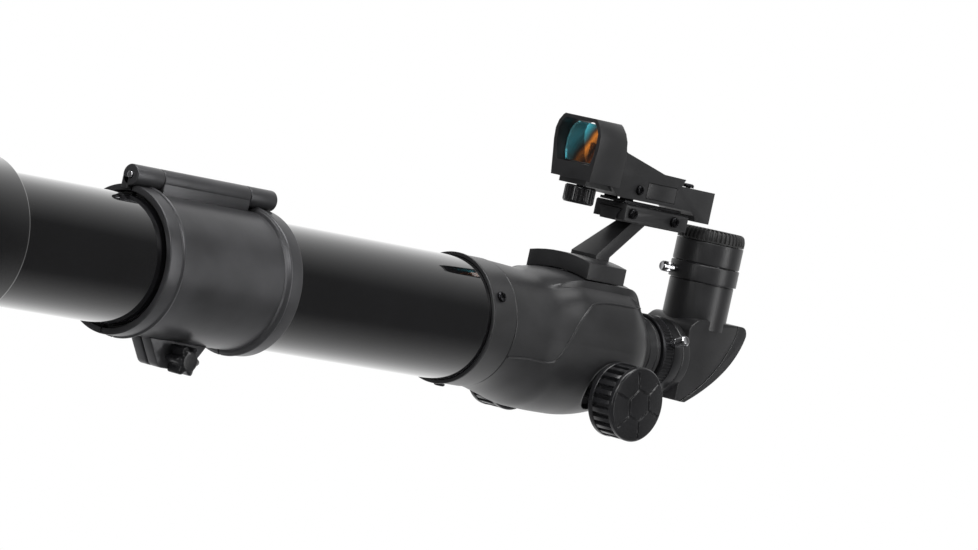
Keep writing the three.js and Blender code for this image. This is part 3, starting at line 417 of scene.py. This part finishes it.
def screw_head(head, height, shank, length, aim, at, socket=0.55):
    """Low domed screw with a cross recess. The seat is at 0 along aim."""
    outer = rounded([(-length, 0), (-length, shank), (0, shank), (0, head), (height * 0.72, head, 0.5),
                     (height, head * 0.72)])
    dome = [(height, r) for r in np.linspace(head * 0.7, 0.12, 12)]
    profile = [*outer, *dome, (height, 0)]
    relief = cross_recess(height - 0.01, head * socket, head * 0.14, min(1.2, height * 0.7))
    return turned(profile, aim=aim, at=at, sides=COARSE, loop=False, relief=relief)


def spur_drum(aim, at, reach):
    """Knurled thumbscrew from its tip at 0 along aim."""
    drum, neck = 3.3, 2.4
    body = rounded([(0, 0), (0, 1.6), (0.4, 1.9), (reach, 1.9), (reach, neck), (reach + 3, neck, 0.3),
                    (reach + 3, drum, 0.5)])
    grip = [(reach + 3.6, drum), (reach + 3.9, drum), (reach + 9.3, drum), (reach + 9.6, drum)]
    end = rounded([(reach + 9.9, drum), (reach + 10.8, drum - 0.7, 0.4), (reach + 10.6, 1.8),
                   (reach + 10.6, 0)])
    relief = ribs(24, 0.35, reach + 3.8, reach + 9.4)
    return turned([*body, *grip, *end], aim=aim, at=at, sides=MEDIUM, loop=False, relief=relief)


# ---- Camera --------------------------------------------------------------------------------------
AZIMUTH, ELEVATION, ROLL = math.radians(-48.0), math.radians(1.5), math.radians(12.3)
DISTANCE = 3.636
back = Vector((math.sin(AZIMUTH) * math.cos(ELEVATION), -math.cos(AZIMUTH) * math.cos(ELEVATION),
               math.sin(ELEVATION)))
level_right = Vector((math.cos(AZIMUTH), math.sin(AZIMUTH), 0))
level_up = back.cross(level_right)
right = level_right * math.cos(ROLL) + level_up * math.sin(ROLL)
up = back.cross(right)
housing_front = Vector((FRONT * MM, AXIS_Y * MM, 0))
target = housing_front + right * 0.0272 + up * 0.0256

camera_data = bpy.data.cameras.new("camera")
camera_data.sensor_width = 36.0
camera_data.lens = 221.0
camera = bpy.data.objects.new("camera", camera_data)
camera.matrix_world = Matrix.Translation(target + back * DISTANCE) @ Matrix(
    (right, up, back)).transposed().to_4x4()
bpy.context.scene.collection.objects.link(camera)
bpy.context.scene.camera = camera
bpy.context.scene.view_settings.view_transform = "Standard"


# ---- Objective end, tube -------------------------------------------------------------------------
piece("tube_barrel", turned(rounded([
    (-188, 36.6), (244.7, 36.6), (244.7, TUBE), (-188, TUBE)], closed=True)),
    "tube", "gloss_tube", "main_tube")
piece("dew_shield_barrel", turned(rounded([
    (-262, 44.4), (-180, 44.4), (-178, 41.3), (-168, 41.3), (-168, 46, 1.6), (-262, 46)], closed=True)),
    "shield", "gloss_tube", "dew_shield")
piece("dew_shield_rim", turned(rounded([
    (-266, 44.8, 0.8), (-262.3, 44.8), (-262.3, 46.6, 0.4), (-264.2, 46.6, 0.2), (-264.4, 46.3),
    (-264.8, 46.6, 0.3), (-266, 46.6, 1.4)], closed=True)), "shield", "black_plastic", "dew_shield_bezel")
piece("objective_ring", turned(rounded([
    (-204.7, 36.1, 0.5), (-190, 36.1), (-190, 34), (-188.3, 34), (-188.3, 38.3), (-164, 38.3, 0.4),
    (-164, 41, 1.2), (-204.7, 41, 0.8)], closed=True)), "tube", "black_plastic", "objective_cell")


def spanner_notches(x, r, phi):
    """Two notches across the front face of the lens retainer."""
    return np.where((x < -203) & (np.abs(np.sin(phi)) < 0.03), 1.2, 0.0), 0


piece("objective_retainer", turned(rounded([
    (-203.7, 33, 0.4), (-200, 33), (-200, 35.8), (-203.7, 35.8, 0.3)], closed=True),
    relief=spanner_notches), "tube", "black_metal", "lens_retainer")
crown_front = [(-199.7 - 1.6 * (1 - t * t), 35.5 * t) for t in np.linspace(0, 1, 14)]
crown_rear = [(-196.5 + 1.7 * (1 - t * t), 35.5 * t) for t in np.linspace(1, 0, 14)]
piece("crown_lens", turned([*crown_front, *crown_rear], loop=False, sides=MEDIUM),
      "tube", "glass", "lens_crown")


# ---- Hinged cradle -------------------------------------------------------------------------------
BAND = [(41.8, 41.4), (42.4, 42.9, 0.4), (43.0, 43.5, 0.3), (43.5, 44.2), (44.0, 44.55), (44.6, 44.6),
        (45.2, 44.2), (45.5, 43.6), (55, 43.6, 0.7)]
cradle_loop = rounded([(55, 39.8, 0.4), (-55, 39.8, 0.4),
                       *[(-p[0], *p[1:]) for p in reversed(BAND)], *BAND], closed=True)
SPLIT_ANGLE = math.asin(0.8 / 43.6)
HINGE_Z = 49.0


def shell(side):
    """Half of the cradle: side is 1 for the far half and -1 for the near half."""
    middle = 0.0 if side > 0 else math.pi
    sweep = (middle - math.pi / 2 + SPLIT_ANGLE, middle + math.pi / 2 - SPLIT_ANGLE)
    return turned(cradle_loop, sweep=sweep, sides=MEDIUM)


def knuckle(start, end, side):
    barrel = turned(rounded([(start, 2.3), (end, 2.3), (end, 6.2, 0.6), (start, 6.2, 0.6)], closed=True),
                    at=(0, 0, HINGE_Z), sides=COARSE)
    y = (0.8, 6.0) if side > 0 else (-6.0, -0.8)
    return merged(barrel, block((start, end), y, (40.6, HINGE_Z - 1.5), 0.4))


def clamp_lug(side):
    y = (0.8, 8.5) if side > 0 else (-8.5, -0.8)
    side_view = rounded([(-24, -40.4), (-20, -46, 2), (-12, -57, 3), (12, -57, 3), (20, -46, 2), (24, -40.4)])
    return prism(side_view, y, "y", 0.8)


piece("cradle_back_shell", merged(shell(1), knuckle(36, 58, 1), knuckle(-58, -36, 1), clamp_lug(1),
                                  block((-27, 27), (40, 46), (-17, 17), 0.8)),
      "cradle", "cradle_shell", "cradle_far_half")
piece("cradle_front_shell", merged(shell(-1), knuckle(-35.6, 35.6, -1), clamp_lug(-1)),
      "cradle_door", "cradle_shell", "cradle_near_half")
piece("hinge_rod", turned(rounded([(-59, 0), (-59, 2, 0.5), (59, 2, 0.5), (59, 0)]), at=(0, 0, HINGE_Z),
                          sides=COARSE, loop=False), "cradle", "bright_steel", "hinge_pin")
piece("side_dovetail", refined("mount_dovetail", 0.6), "cradle", "black_metal", "mount_dovetail")


def lobes(x, r, phi):
    return 0, (1.5 * np.cos(6 * phi) - 0.3) * min(1.0, r / 8.0) if r > 6 else 0


piece("clamp_handle", turned(rounded([
    (9.2, 3.2), (9.2, 8.1, 0.8), (19.6, 8.1, 1.2), (20.4, 6.6, 0.8), (21.5, 5.6, 0.8), (21.5, 0)]),
    aim=NEAR, at=(0, 0, -50), sides=MEDIUM, loop=False, relief=lobes), "clamp", "knob_plastic", "clamp_knob")


# ---- Focuser housing -----------------------------------------------------------------------------
def step(low, high, value):
    t = np.clip((value - low) / (high - low), 0, 1)
    return t * t * (3 - 2 * t)


def housing_extra(x, radius, y, z):
    """Extra radius in the direction (y, z): the pinion's belly, and the finder saddle and its shoulders."""
    belly = 8.6 * step(22, 70, x) * (1 - step(105, 168, x)) * np.maximum(0, -z)
    half = 27.2
    above = np.maximum(z, 1e-6)
    across = np.minimum(half, 41.8 * np.abs(y) / above)
    crown = 41.8 - 3 * (across / half) ** 2
    saddle = np.minimum(half / np.maximum(np.abs(y), 1e-6), crown / above)
    shoulder = np.minimum(radius + 5 * step(0.2, 0.72, z), 35 / above)
    weight = step(58, 90, x) * (1 - step(131, 158, x))
    return np.where(z > 0, weight * np.maximum(0, np.maximum(saddle, shoulder) - radius), belly)


def pocket_depth(x, z):
    """Distance of the shaft pocket's surface from the middle plane."""
    away = np.hypot(x - PINION[0], z - PINION[1])
    return 18 + np.maximum(0, away - 8) * 30 / 19


housing_curve = smooth_path([(23.2, 39.2), (40, 38.4), (56, 37.7), (72, 38.4), (88, 39), (108, 39),
                             (128, 38.8), (140, 37.6), (150, 34.6), (157, 29.4), (160, 25.5)], 190)
housing_lip = rounded([(0, 38.3), (0, 40.4, 0.6), (2, 40.4, 0.3), (2.25, 39.7), (2.7, 39.6),
                       (21.6, 39.6, 0.4), (21.8, 38.7), (22.3, 38.7), (22.6, 39.1, 0.3), (23.1, 39.2)])
housing_inside = dense([(160, 22.4), (156, 22.4), (156, 25), (148, 32), (130, 34.6), (56, 34), (24, 35.8),
                        (18, 35.8), (18, 38.3), (0.2, 38.3)], 3.0)
skin = len(housing_lip) + len(housing_curve)
housing_sides = 300


POCKET_BLEND = 1.6  # width of the soft edge round the shaft pocket
SLOT_START, SLOT_FLOOR = 149, -23.7  # the rack slot's start behind the front edge, and its height


def housing_warp(points):
    """Adds the belly and the saddle, then cuts the rack slot and the shaft pockets."""
    x, y, z = points.T
    radius = np.hypot(y, z)
    extra = housing_extra(x, radius, y / radius, z / radius)
    outer = np.arange(len(points)) < skin * housing_sides
    grow = np.where(outer, 1 + extra / radius, 1.0)
    y, z = y * grow, z * grow
    z = np.where(~outer & (x > SLOT_START) & (z < -20) & (np.abs(y) < RACK_SLOT), SLOT_FLOOR, z)
    limit = pocket_depth(x + FRONT, z) - np.where(outer, 0.0, 2.5)
    blend = np.clip(0.5 + 0.5 * (limit - np.abs(y)) / POCKET_BLEND, 0, 1)
    y = np.sign(y) * (limit + (np.abs(y) - limit) * blend - POCKET_BLEND * blend * (1 - blend))
    return np.column_stack([x, y, z])


housing_shape = turned(np.vstack([housing_lip, housing_curve, housing_inside]), at=(FRONT, 0, 0),
                       sides=housing_sides, warp=housing_warp)


def housing_side_point(x, z):
    """Point of the near side's surface at a distance behind the front edge and a height."""
    radius = np.interp(x, housing_curve[:, 0], housing_curve[:, 1])
    reach = radius
    for _ in range(12):
        y = -math.sqrt(max(reach * reach - z * z, 1.0))
        reach = radius + float(housing_extra(x, radius, y / reach, z / reach))
    y = -math.sqrt(max(reach * reach - z * z, 1.0))
    y = -min(-y, float(pocket_depth(x + FRONT, z)))
    return (x + FRONT, y, z)


panel_line = smooth_path([(23.6, -15), (42, -14), (60, -14), (68, -8), (86.5, 20.6), (102.5, 27.5),
                          (147, 28)], 120)
near_line = np.array([housing_side_point(x, z) for x, z in panel_line])
far_line = near_line * (1, -1, 1)
piece("focuser_shell", merged(housing_shape, swept(near_line, 0.75), swept(far_line, 0.75)), "tube",
      "black_plastic", "focuser_housing")

for number, angle in enumerate((30, 150, 270), 1):
    out = Vector((0, -math.cos(math.radians(angle)), math.sin(math.radians(angle))))
    place = Vector((FRONT + 8.5, 0, 0)) + out * 39.9
    piece(f"band_screw_{number}", screw_head(3.4, 1.6, 1.6, 1.4, out, place), "tube", "black_steel",
          f"housing_screw_{number}")

slot_angle = math.asin(RACK_SLOT / 20.8)
piece("guide_sleeve", turned(rounded([
    (FRONT + 144, 19.6), (FRONT + 179, 19.6), (FRONT + 179, 22.6, 0.4), (FRONT + 176.4, 22.6, 0.4),
    (FRONT + 176, 22), (FRONT + 170, 22), (FRONT + 169.7, 21.5), (FRONT + 169, 21.5), (FRONT + 168.7, 22),
    (FRONT + 144, 22)], closed=True), sweep=(slot_angle - math.pi / 2, 1.5 * math.pi - slot_angle)), "tube",
    "black_plastic", "drawtube_guide")

# ---- Drawtube and focus knobs --------------------------------------------------------------------
piece("draw_sleeve", turned(rounded([
    (FRONT + 46, 17.5), (FRONT + 185.7, 17.5), (FRONT + 185.7, 19.3, 0.3), (FRONT + 46, 19.3, 0.3)],
    closed=True), sides=MEDIUM), "draw", "draw_aluminium", "drawtube")
piece("draw_collar", turned([
    *rounded([(FRONT + 198.5, 16), (FRONT + 198.5, 24.1, 0.8), (FRONT + 197.6, 24.5), (FRONT + 190.2, 24.5)]),
    (FRONT + 190, 24.1), (FRONT + 189.4, 24.1), (FRONT + 189.2, 24.5), (FRONT + 188.9, 24.5),
    (FRONT + 182.2, 24.5), (FRONT + 181.9, 24.5),
    *rounded([(FRONT + 181.2, 24.4, 0.4), (FRONT + 180.5, 23.6), (FRONT + 180.5, 19.6)]),
    (FRONT + 186, 19.6), (FRONT + 186, 16)], sides=288, relief=ribs(72, 0.45, FRONT + 182.0, FRONT + 189.0)),
    "draw", "black_metal", "drawtube_collar")
screw_out = Vector((0, -math.cos(math.radians(23)), math.sin(math.radians(23))))
screw_tip = Vector((FRONT + 188.5, 0, 0)) + screw_out * 16
piece("collar_thumbscrew", spur_drum(screw_out, screw_tip, 9), "draw_screw", "bright_steel",
      "drawtube_thumbscrew")


def segment_distance(u, v, a, b):
    """Distance of points (u, v) from the segment between a and b."""
    d = np.subtract(b, a)
    t = np.clip(((u - a[0]) * d[0] + (v - a[1]) * d[1]) / (d @ d), 0, 1)
    return np.hypot(u - a[0] - t * d[0], v - a[1] - t * d[1])


KNOB_RIBS = 24
RAY_END, HEXAGON = 21.0, 10.0
corners = [(math.cos(math.radians(a)), math.sin(math.radians(a))) for a in range(46, 406, 60)]


def knob_relief(x, r, phi):
    """Grip ribs between two rims, and the face's hexagon and rays as engraved lines."""
    if KNOB_BACK + 4.2 <= x <= KNOB_BACK + 17.4 and r > 20:
        return 0, -2.2 * (1 - pulse(phi * KNOB_RIBS / (2 * math.pi), 0.55, 0.1))
    if x < KNOB_FACE - 1.2 or r > RAY_END + 0.6:
        return 0, 0
    u, v = r * np.cos(phi), r * np.sin(phi)
    away = np.full_like(u, 9.0)
    for i, corner in enumerate(corners):
        following = corners[(i + 1) % 6]
        inner = (corner[0] * HEXAGON, corner[1] * HEXAGON)
        next_inner = (following[0] * HEXAGON, following[1] * HEXAGON)
        away = np.minimum(away, segment_distance(u, v, inner, next_inner))
        away = np.minimum(away, segment_distance(u, v, inner, (corner[0] * RAY_END, corner[1] * RAY_END)))
    return -0.75 * np.clip((0.85 - away) / 0.5, 0, 1), 0


def knob(aim):
    side = rounded([(KNOB_BACK + 2, 0), (KNOB_BACK + 2, 7), (KNOB_BACK, 7.6, 0.3), (KNOB_BACK, 22.3, 0.8),
                    (KNOB_BACK + 0.8, KNOB, 0.6), (KNOB_BACK + 3.8, KNOB, 0.4),
                    (KNOB_BACK + 4.1, KNOB - 0.3)])
    grip = [(KNOB_BACK + 4.25, KNOB - 0.2), (KNOB_BACK + 11, KNOB - 0.2), (KNOB_BACK + 17.35, KNOB - 0.2)]
    rim = rounded([(KNOB_BACK + 17.5, KNOB - 0.3), (KNOB_BACK + 17.8, KNOB, 0.2), (KNOB_FACE - 2, KNOB, 0.6),
                   (KNOB_FACE - 1.05, 22.3, 0.4), (KNOB_FACE - 1.0, 21.9)])
    face = [(KNOB_FACE - (r / 21.8) ** 2, r) for r in np.linspace(21.8, 0, 74)]
    return turned([*side, *grip, *rim, *face], aim=aim, at=(PINION[0], 0, PINION[1]), sides=352, loop=False,
                  relief=knob_relief)


piece("focus_wheel_near", knob(NEAR), "focus", "knob_plastic", "focus_knob_near")
piece("focus_wheel_far", knob(Y), "focus", "knob_plastic", "focus_knob_far")
piece("focus_axle", turned(rounded([(-55, 0), (-55, 3, 0.4), (55, 3, 0.4), (55, 0)]), aim=Y,
                           at=(PINION[0], 0, PINION[1]), sides=COARSE, loop=False), "focus", "bright_steel",
      "focus_shaft")

# ---- Diagonal and eyepiece -----------------------------------------------------------------------
neck = turned(rounded([(426.3, 15.9), (426.3, 23.6, 1.6), (433.8, 23.6, 0.8), (433.8, 15.9)], closed=True))


def curve(start, control, end, count=20):
    """Quadratic curve between two points."""
    start, control, end = np.array(start), np.array(control), np.array(end)
    return [tuple((1 - t) ** 2 * start + 2 * t * (1 - t) * control + t * t * end)
            for t in np.linspace(0, 1, count)]


diagonal_side = [(432.3, -25), *curve((EYE_X - 20, -25), (EYE_X + 13.5, -5), (EYE_X + 21, 23)),
                 *rounded([(EYE_X + 21, 23), (EYE_X + 21, 28, 1.5), (440, 28, 4), (432.3, 22, 3), (432.3, 12)])]
barrel = turned([(22, 0), (22, 20.6), *rounded([(30, 20.6), (50.2, 20.6, 0.3), (50.5, 20.2), (51, 20.2),
                                                (51, 21.9, 0.5), (61.8, 21.9, 0.8), (61.8, 16, 0.4), (38, 16)]),
                 (36, 15), (36, 0)], aim=Z, at=(EYE_X, 0, 0), loop=False)
piece("diagonal_shell", merged(neck, prism(diagonal_side, (-19.5, 19.5), "y", 1.6, 4), barrel), "diagonal",
      "black_plastic", "diagonal_body")
cover_side = [*curve((EYE_X + 21.35, 22.7), (EYE_X + 13.85, -5.3), (EYE_X - 19.4, -25.3)),
              *curve((EYE_X - 14.5, -25.3), (EYE_X + 26, -3), (EYE_X + 31.3, 22.5)), (EYE_X + 30.9, 24.6),
              (EYE_X + 29.8, 26.5), (EYE_X + 28.4, 27.5), (EYE_X + 26.5, 28), (EYE_X + 21.35, 28)]
piece("diagonal_plate", prism(cover_side, (-19.5, 19.5), "y", 0.5),
      "diagonal", "black_plastic", "diagonal_cover")
piece("diagonal_nose", turned(rounded([
    (398.3, 14), (430.9, 14), (430.9, NOSE), (398.3, NOSE, 0.6)], closed=True), sides=MEDIUM), "diagonal",
    "bright_steel", "diagonal_nosepiece")
lock = math.radians(15)
lock_out = Vector((-math.cos(lock), math.sin(lock), 0))
piece("barrel_thumbscrew", spur_drum(lock_out, Vector((EYE_X, 0, 56)) + lock_out * 16, 6.4), "eye_screw",
      "bright_steel", "eyepiece_thumbscrew")

eye_at = (EYE_X, 0, 0)
piece("eyepiece_tube", turned(rounded([
    (38, 14.5), (68.1, 14.5), (68.1, NOSE), (60.5, NOSE, 0.4), (60.1, 15.3), (55, 15.3), (54.6, NOSE, 0.4),
    (38, NOSE, 0.5)], closed=True), aim=Z, at=eye_at, sides=MEDIUM), "eyepiece", "bright_steel",
    "eyepiece_barrel")
piece("eyepiece_barrel_top", turned(rounded([
    (62.1, 16), (68.4, 16), (68.4, 13.2), (78.4, 13.2, 0.3), (78.4, 17.4), (76.2, 17.4), (76.2, 21.5, 0.5),
    (62.8, 21.5, 0.3), (62.1, 21)], closed=True), aim=Z, at=eye_at),
    "eyepiece", "black_plastic", "eyepiece_body")


def cup_ribs(x, r, phi):
    if x < 77.4 or r < 17.2:
        return 0, 0
    groove = 1 - pulse(phi * 44 / (2 * math.pi), 0.5)
    return -0.8 * groove * (1 if x > 83.6 else 0), -1.0 * groove


cup_crown = smooth_path([(80.4, 21.4), (83.0, 20.6), (84.3, 19.2), (84.6, 17.8), (84.4, 16.5),
                         (83.8, 15.6)], 14)
piece("rubber_eyecup", turned([
    (76.5, 17.7), (78.7, 17.7), (78.7, 13.4), (81.6, 13.6), (83.8, 15.5), *cup_crown[::-1],
    (79.4, 21.5), (77.9, 21.5), (77.6, 21.5), *rounded([(77.3, 21.5), (76.5, 21.5, 0.4), (76.5, 20.4)])],
    aim=Z, at=eye_at, sides=352, relief=cup_ribs), "eyepiece", "rubber", "eyecup")

# ---- Finder --------------------------------------------------------------------------------------
piece("shoe_block", refined("finder_shoe", 0.9, 3), "tube", "black_plastic", "finder_shoe")
piece("slanted_bracket", refined("finder_bracket", 0.7, 3), "tube", "black_plastic", "finder_bracket")
piece("rail_clamp", refined("finder_clamp", 0.35), "sight_clamp", "black_plastic", "finder_clamp")
for number, x in enumerate((FRONT + 134.8, FRONT + 175), 1):
    piece(f"rail_screw_{number}", screw_head(3.3, 2.4, 1.5, 3, NEAR, (x, -13.3, 84.4)), "sight_clamp",
          "black_steel", f"clamp_screw_{number}")
piece("tilt_yoke", refined("finder_yoke", 0.3), "sight_yoke", "black_metal", "finder_yoke")
piece("finder_housing", refined("finder_body", 0.6, 3), "sight", "black_plastic", "finder_body")
piece("battery_door", refined("battery_drawer", 0.3), "battery", "black_plastic", "battery_drawer")
piece("side_screw", screw_head(3.1, 1.6, 1.5, 3.6, NEAR, (FRONT + 135.7, -14.3, 99.7)),
      "side_screw", "black_steel", "windage_screw")
piece("top_screw", screw_head(3.6, 2.4, 1.5, 15, Z, (FRONT + 197, 0, 107.6)), "height_screw", "black_steel",
      "altitude_screw")
piece("brightness_knob", turned([
    (83.8, 0), *rounded([(83.8, 8.8, 0.6), (84.8, 9.7, 0.4)]), (85.3, 9.8), (85.6, 9.8), (93.2, 9.8),
    (93.5, 9.8), *rounded([(93.9, 9.7, 0.3), (94.8, 8.8)]), (94.8, 3), (103, 3), (103, 0)], aim=Z,
    at=(FRONT + 97, 0, 0), sides=288, loop=False, relief=ribs(24, 0.9, 85.5, 93.3)), "dimmer", "knob_plastic",
    "dimmer_knob")

# ---- CAD nodes that stay -------------------------------------------------------------------------
for entry in frame["record"]["subparts"]:
    mesh = frame["nodes"][entry["node"]].data
    mesh.materials.clear()
    mesh.materials.append(MATERIALS[entry["material_slot"]])

# ---- Floor and light -----------------------------------------------------------------------------
floor_mesh = bpy.data.meshes.new("floor")
floor_half, floor_z = 1.7, -0.45
floor_mesh.from_pydata([(-floor_half, -floor_half, floor_z), (floor_half, -floor_half, floor_z),
                        (floor_half, floor_half, floor_z), (-floor_half, floor_half, floor_z)], [],
                       [(0, 1, 2, 3)])
floor = bpy.data.objects.new("floor", floor_mesh)
bpy.context.scene.collection.objects.link(floor)
floor_mesh.materials.append(surface("pale_floor", (0.86, 0.86, 0.86), 0.7, spread=0.02, bump=0.02))
floor.visible_glossy = False


def softbox(name, place, size, power, mirrored=True, aim_at=(0.25, -0.058, 0.0)):
    data = bpy.data.lights.new(name, "AREA")
    data.shape = "RECTANGLE"
    data.size, data.size_y = size
    data.energy = power
    lamp = bpy.data.objects.new(name, data)
    lamp.visible_glossy = mirrored
    place = Vector(place)
    turn = (place - Vector(aim_at)).to_track_quat("Z", "Y").to_matrix().to_4x4()
    lamp.matrix_world = Matrix.Translation(place) @ turn
    bpy.context.scene.collection.objects.link(lamp)


softbox("softbox_top", (0.1, -0.25, 1.5), (1.8, 0.6), 26)
softbox("softbox_front", (-1.3, -1.3, 1.3), (0.9, 0.7), 16)
softbox("strip_left", (-1.45, -0.1, 0.35), (0.25, 1.6), 9)
softbox("strip_right", (0.85, -1.45, 0.35), (0.25, 1.6), 9)
softbox("softbox_low", (0.2, -0.1, -0.42), (1.6, 0.5), 4, mirrored=False)

world = bpy.data.worlds.new("studio")
bpy.context.scene.world = world
world.use_nodes = True
sky, sky_links = world.node_tree.nodes, world.node_tree.links
backdrop = sky["Background"]
backdrop.inputs["Strength"].default_value = 1.0
direction = sky.new("ShaderNodeTexCoord")
toward_back = sky.new("ShaderNodeVectorMath")
toward_back.operation = "DOT_PRODUCT"
toward_back.inputs[1].default_value = tuple(-back)
sky_links.new(direction.outputs["Generated"], toward_back.inputs[0])
falloff = sky.new("ShaderNodeValToRGB")
dark, bright = falloff.color_ramp.elements
dark.position, dark.color = 0.15, (0.10, 0.10, 0.10, 1)
bright.position, bright.color = 0.85, (1.0, 1.0, 1.0, 1)
sky_links.new(toward_back.outputs["Value"], falloff.inputs["Fac"])
paths = sky.new("ShaderNodeLightPath")
seen = sky.new("ShaderNodeMix")
seen.data_type = "RGBA"
sky_links.new(paths.outputs["Is Camera Ray"], seen.inputs["Factor"])
sky_links.new(falloff.outputs["Color"], seen.inputs["A"])
seen.inputs["B"].default_value = (1, 1, 1, 1)
sky_links.new(seen.outputs["Result"], backdrop.inputs["Color"])
